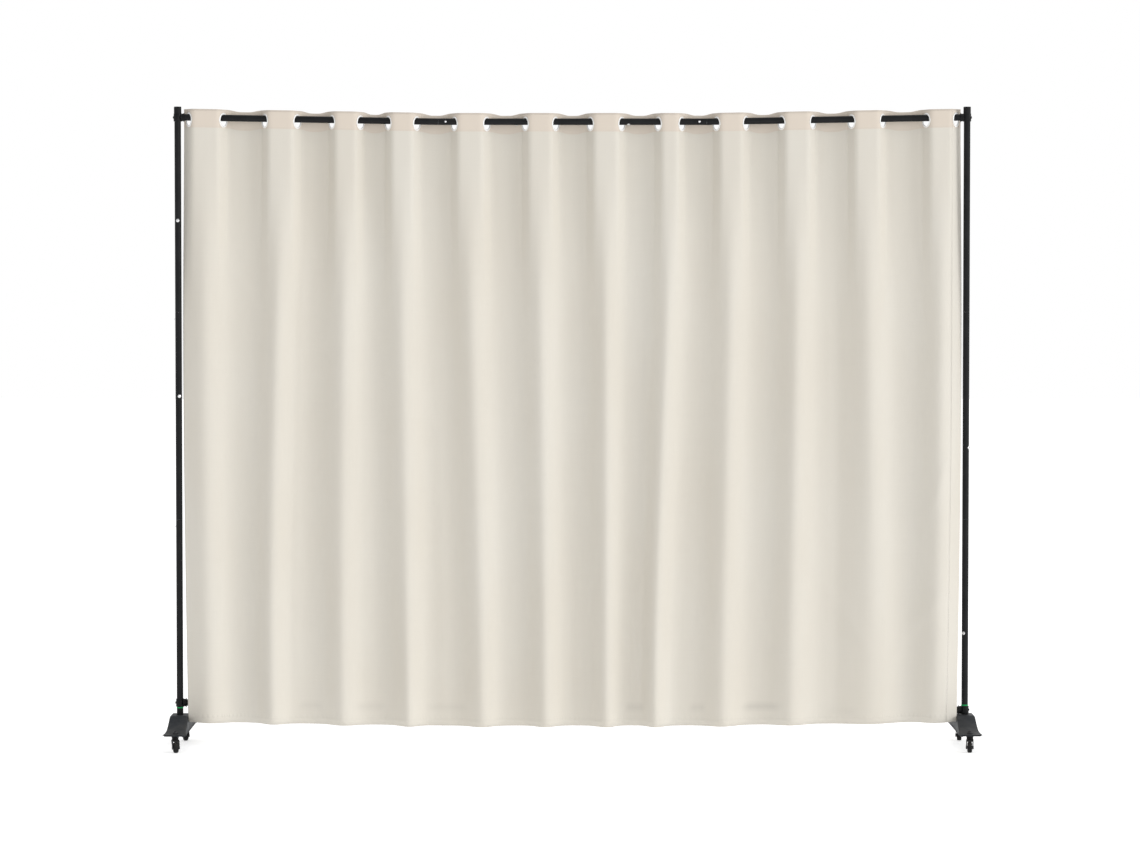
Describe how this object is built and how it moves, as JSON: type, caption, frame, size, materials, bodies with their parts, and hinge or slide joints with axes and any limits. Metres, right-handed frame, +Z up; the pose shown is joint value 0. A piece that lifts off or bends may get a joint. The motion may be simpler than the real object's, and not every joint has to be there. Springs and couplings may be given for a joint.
{
  "type": "rolling curtain partition",
  "caption": "Free-standing partition wall: slim tube frame on castored feet carrying a full-height eyelet curtain that draws aside.",
  "frame": {"origin": "on the floor under the middle of the wall", "axes": "+X along the wall to the viewer's right, -Y the front, +Z up"},
  "size_m": [3.08, 0.4555, 2.44],
  "materials": {
    "tube_coat": "satin black powder coat",
    "cap_plastic": "moulded black plastic",
    "tee_cast": "black coated casting, semi-gloss",
    "foot_coat": "dark slate powder coat, fine texture",
    "sleeve_zinc": "zinc plated steel",
    "screw_nickel": "bright nickel plate",
    "black_screw": "black oxide",
    "axle_steel": "zinc plated steel",
    "ring_mark": "bright green marking band",
    "spring_steel": "tempered strip",
    "button_nickel": "polished nickel",
    "eyelet_ring": "pale satin ring",
    "heading_cloth": "stiffened cream polyester, close weave",
    "curtain_cloth": "cream polyester, close plain weave, slightly translucent",
    "fork_plastic": "moulded black nylon",
    "wheel_tread": "black caster tread",
    "pedal_plastic": "moulded black nylon"
  },
  "bodies": {
    "frame": {"left_post_bottom": "tube_coat", "left_post_middle": "tube_coat", "left_post_top": "tube_coat", "right_post_bottom": "tube_coat", "right_post_middle": "tube_coat", "right_post_top": "tube_coat", "post_caps": "cap_plastic", "top_bar_left": "tube_coat", "top_bar_middle": "tube_coat", "top_bar_right": "tube_coat", "low_bar_left": "tube_coat", "low_bar_middle": "tube_coat", "low_bar_right": "tube_coat", "top_left_tee": "tee_cast", "top_right_tee": "tee_cast", "low_left_tee": "tee_cast", "low_right_tee": "tee_cast", "left_foot_plate": "foot_coat", "right_foot_plate": "foot_coat", "left_foot_saddle": "foot_coat", "right_foot_saddle": "foot_coat", "foot_stubs": "sleeve_zinc", "foot_bolts": "screw_nickel", "post_sleeves": "sleeve_zinc", "bar_sleeves": "sleeve_zinc", "lock_screws": "screw_nickel", "tee_set_screws": "black_screw", "caster_stems": "axle_steel", "stem_nuts": "black_screw", "height_rings": "ring_mark", "button_springs": "spring_steel", "curtain_heading": "heading_cloth", "curtain_drop": "curtain_cloth", "curtain_eyelets": "eyelet_ring"},
    "button_left_low": {"button_left_low": "button_nickel"},
    "button_left_high": {"button_left_high": "button_nickel"},
    "button_right_low": {"button_right_low": "button_nickel"},
    "button_right_high": {"button_right_high": "button_nickel"},
    "button_top_bar_left": {"button_top_bar_left": "button_nickel"},
    "button_top_bar_right": {"button_top_bar_right": "button_nickel"},
    "button_low_bar_left": {"button_low_bar_left": "button_nickel"},
    "button_low_bar_right": {"button_low_bar_right": "button_nickel"},
    "fork_front_left": {"fork_front_left": "fork_plastic", "axle_front_left": "axle_steel"},
    "wheel_front_left": {"wheel_front_left": "wheel_tread"},
    "pedal_front_left": {"pedal_front_left": "pedal_plastic"},
    "fork_back_left": {"fork_back_left": "fork_plastic", "axle_back_left": "axle_steel"},
    "wheel_back_left": {"wheel_back_left": "wheel_tread"},
    "fork_front_right": {"fork_front_right": "fork_plastic", "axle_front_right": "axle_steel"},
    "wheel_front_right": {"wheel_front_right": "wheel_tread"},
    "pedal_front_right": {"pedal_front_right": "pedal_plastic"},
    "fork_back_right": {"fork_back_right": "fork_plastic", "axle_back_right": "axle_steel"},
    "wheel_back_right": {"wheel_back_right": "wheel_tread"},
    "curtain_lead": {"leading_edge": "curtain_cloth", "leading_eyelet": "eyelet_ring"}
  },
  "joints": [
    {"name": "button_left_low_press", "type": "slide", "parent": "frame", "child": "button_left_low", "axis": [1, 0, 0], "range_m": [0, 0.0035], "stiffness_N_per_m": 900, "springref_m": -0.002, "deforming": ["button_springs"]},
    {"name": "button_left_high_press", "type": "slide", "parent": "frame", "child": "button_left_high", "axis": [1, 0, 0], "range_m": [0, 0.0035], "stiffness_N_per_m": 900, "springref_m": -0.002, "deforming": ["button_springs"]},
    {"name": "button_right_low_press", "type": "slide", "parent": "frame", "child": "button_right_low", "axis": [0, -1, 0], "range_m": [0, 0.0035], "stiffness_N_per_m": 900, "springref_m": -0.002, "deforming": ["button_springs"]},
    {"name": "button_right_high_press", "type": "slide", "parent": "frame", "child": "button_right_high", "axis": [0, -1, 0], "range_m": [0, 0.0035], "stiffness_N_per_m": 900, "springref_m": -0.002, "deforming": ["button_springs"]},
    {"name": "button_top_bar_left_press", "type": "slide", "parent": "frame", "child": "button_top_bar_left", "axis": [0, 1, 0], "range_m": [0, 0.0035], "stiffness_N_per_m": 900, "springref_m": -0.002, "deforming": ["button_springs"]},
    {"name": "button_top_bar_right_press", "type": "slide", "parent": "frame", "child": "button_top_bar_right", "axis": [0, 1, 0], "range_m": [0, 0.0035], "stiffness_N_per_m": 900, "springref_m": -0.002, "deforming": ["button_springs"]},
    {"name": "button_low_bar_left_press", "type": "slide", "parent": "frame", "child": "button_low_bar_left", "axis": [0, 1, 0], "range_m": [0, 0.0035], "stiffness_N_per_m": 900, "springref_m": -0.002, "deforming": ["button_springs"]},
    {"name": "button_low_bar_right_press", "type": "slide", "parent": "frame", "child": "button_low_bar_right", "axis": [0, 1, 0], "range_m": [0, 0.0035], "stiffness_N_per_m": 900, "springref_m": -0.002, "deforming": ["button_springs"]},
    {"name": "swivel_front_left", "type": "hinge", "parent": "frame", "child": "fork_front_left", "pos_m": [-1.5, -0.19, 0.055], "axis": [0, 0, 1], "continuous": true},
    {"name": "roll_front_left", "type": "hinge", "parent": "fork_front_left", "child": "wheel_front_left", "pos_m": [-1.49638, -0.20352, 0.02], "axis": [0.9659, 0.2588, 0], "continuous": true},
    {"name": "brake_left", "type": "hinge", "parent": "fork_front_left", "child": "pedal_front_left", "pos_m": [-1.49663, -0.20256, 0.0455], "axis": [0.9659, 0.2588, 0], "range_deg": [0, 9]},
    {"name": "swivel_back_left", "type": "hinge", "parent": "frame", "child": "fork_back_left", "pos_m": [-1.5, 0.19, 0.055], "axis": [0, 0, 1], "continuous": true},
    {"name": "roll_back_left", "type": "hinge", "parent": "fork_back_left", "child": "wheel_back_left", "pos_m": [-1.49638, 0.17648, 0.02], "axis": [0.9659, 0.2588, 0], "continuous": true},
    {"name": "swivel_front_right", "type": "hinge", "parent": "frame", "child": "fork_front_right", "pos_m": [1.5, -0.19, 0.055], "axis": [0, 0, 1], "continuous": true},
    {"name": "roll_front_right", "type": "hinge", "parent": "fork_front_right", "child": "wheel_front_right", "pos_m": [1.49805, -0.20386, 0.02], "axis": [0.9903, -0.1392, 0], "continuous": true},
    {"name": "brake_right", "type": "hinge", "parent": "fork_front_right", "child": "pedal_front_right", "pos_m": [1.49819, -0.20287, 0.0455], "axis": [0.9903, -0.1392, 0], "range_deg": [0, 9]},
    {"name": "swivel_back_right", "type": "hinge", "parent": "frame", "child": "fork_back_right", "pos_m": [1.5, 0.19, 0.055], "axis": [0, 0, 1], "continuous": true},
    {"name": "roll_back_right", "type": "hinge", "parent": "fork_back_right", "child": "wheel_back_right", "pos_m": [1.49805, 0.17614, 0.02], "axis": [0.9903, -0.1392, 0], "continuous": true},
    {"name": "curtain_draw", "type": "slide", "parent": "frame", "child": "curtain_lead", "axis": [-1, 0, -0.007], "range_m": [0, 2.06], "deforming": ["curtain_heading", "curtain_drop", "curtain_eyelets"]}
  ]
}
